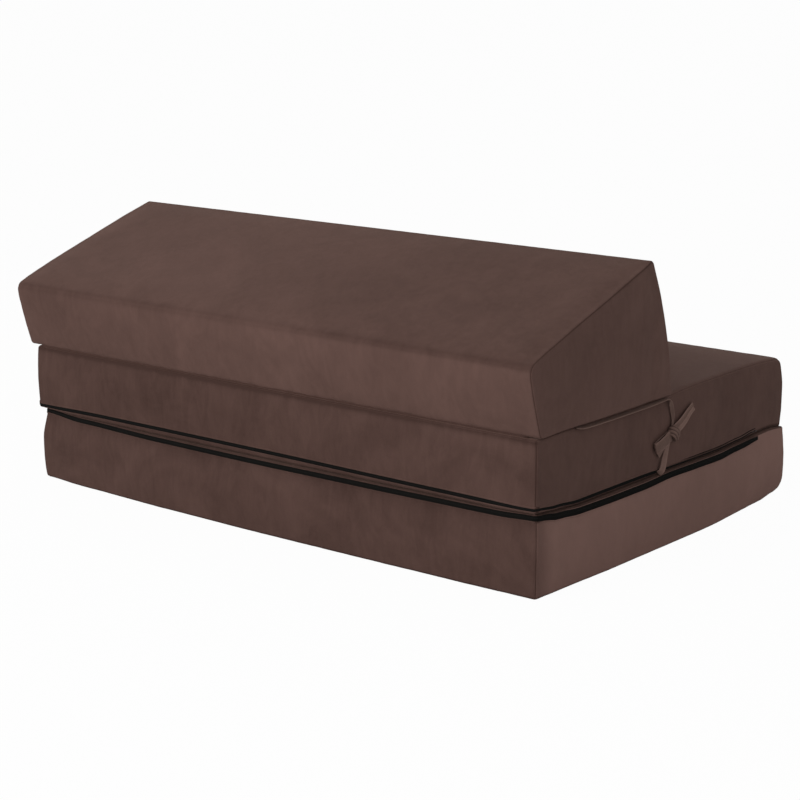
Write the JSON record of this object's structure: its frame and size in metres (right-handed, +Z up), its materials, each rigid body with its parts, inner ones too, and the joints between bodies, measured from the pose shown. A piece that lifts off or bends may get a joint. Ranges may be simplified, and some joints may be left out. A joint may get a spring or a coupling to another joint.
{
  "type": "folding guest bed",
  "caption": "Folding foam guest bed stacked as a low ottoman: flat blocks and a wedge backrest in zipped velvet covers, hinged by fabric and held closed with side ties.",
  "frame": {"origin": "on the floor, under the middle of the folded bed", "axes": "+X along the bed's width to the end with the zip sliders, +Y from the front to the rear edge of the seat, +Z up"},
  "size_m": [1.2228, 0.8315, 0.515],
  "materials": {
    "velvet": "matte",
    "foam": "matte",
    "zip_tape": "matte",
    "zip_coil": "satin",
    "zip_metal": "satin",
    "hinge_cloth": "matte",
    "tie_cloth": "matte"
  },
  "bodies": {
    "base": {"base_foam_core": "foam", "base_front_panel": "velvet", "base_rear_panel": "velvet", "base_right_end_panel": "velvet", "base_left_end_panel": "velvet", "base_bottom_panel": "velvet", "base_top_panel": "velvet", "base_zip_upper_tape": "zip_tape", "base_zip_lower_tape": "zip_tape", "base_zip_coil": "zip_coil", "base_zip_stops": "zip_metal", "rear_hinge_lower_leaf": "hinge_cloth", "right_base_tie": "tie_cloth", "left_base_tie": "tie_cloth"},
    "middle": {"middle_foam_core": "foam", "middle_front_panel": "velvet", "middle_rear_panel": "velvet", "middle_right_end_panel": "velvet", "middle_left_end_panel": "velvet", "middle_bottom_panel": "velvet", "middle_top_panel": "velvet", "middle_zip_upper_tape": "zip_tape", "middle_zip_lower_tape": "zip_tape", "middle_zip_coil": "zip_coil", "middle_zip_stops": "zip_metal", "rear_hinge_upper_leaf": "hinge_cloth", "front_hinge_lower_leaf": "hinge_cloth"},
    "wedge": {"wedge_foam_core": "foam", "wedge_slope_panel": "velvet", "wedge_back_panel": "velvet", "wedge_base_panel": "velvet", "wedge_right_end_panel": "velvet", "wedge_left_end_panel": "velvet", "wedge_zip_upper_tape": "zip_tape", "wedge_zip_lower_tape": "zip_tape", "wedge_zip_coil": "zip_coil", "wedge_zip_stops": "zip_metal", "front_hinge_upper_leaf": "hinge_cloth", "right_wedge_tie": "tie_cloth", "left_wedge_tie": "tie_cloth", "right_tie_bow": "tie_cloth", "left_tie_bow": "tie_cloth"},
    "base_slider": {"base_zip_slider": "zip_metal"},
    "base_pull": {"base_zip_pull": "zip_metal"},
    "middle_slider": {"middle_zip_slider": "zip_metal"},
    "middle_pull": {"middle_zip_pull": "zip_metal"},
    "wedge_slider": {"wedge_zip_slider": "zip_metal"},
    "wedge_pull": {"wedge_zip_pull": "zip_metal"}
  },
  "joints": [
    {"name": "middle_fold", "type": "hinge", "parent": "base", "child": "middle", "pos_m": [0, 0.41725, 0.1362], "axis": [-1, 0, 0], "range_deg": [0, 180]},
    {"name": "wedge_fold", "type": "hinge", "parent": "middle", "child": "wedge", "pos_m": [0, -0.40025, 0.2706], "axis": [1, 0, 0], "range_deg": [0, 180]},
    {"name": "base_zip", "type": "slide", "parent": "base", "child": "base_slider", "axis": [0, -1, 0], "range_m": [0, 0.6277]},
    {"name": "middle_zip", "type": "slide", "parent": "middle", "child": "middle_slider", "axis": [0, -1, 0], "range_m": [0, 0.6277]},
    {"name": "wedge_zip", "type": "slide", "parent": "wedge", "child": "wedge_slider", "axis": [-1, 0, 0], "range_m": [0, 1.1094]},
    {"name": "base_pull_swing", "type": "hinge", "parent": "base_slider", "child": "base_pull", "pos_m": [0.6015, 0.3087, 0.129], "axis": [0, 0, -1], "range_deg": [0, 180]},
    {"name": "middle_pull_swing", "type": "hinge", "parent": "middle_slider", "child": "middle_pull", "pos_m": [0.6015, 0.3087, 0.1474], "axis": [0, 0, -1], "range_deg": [0, 180]},
    {"name": "wedge_pull_swing", "type": "hinge", "parent": "wedge_slider", "child": "wedge_pull", "pos_m": [0.5547, 0.01181, 0.28582], "axis": [0, -0.2476, 0.9689], "range_deg": [0, 180]}
  ],
  "couplings": [
    {"joint": "wedge_fold", "follows": "middle_fold", "ratio": 1}
  ]
}
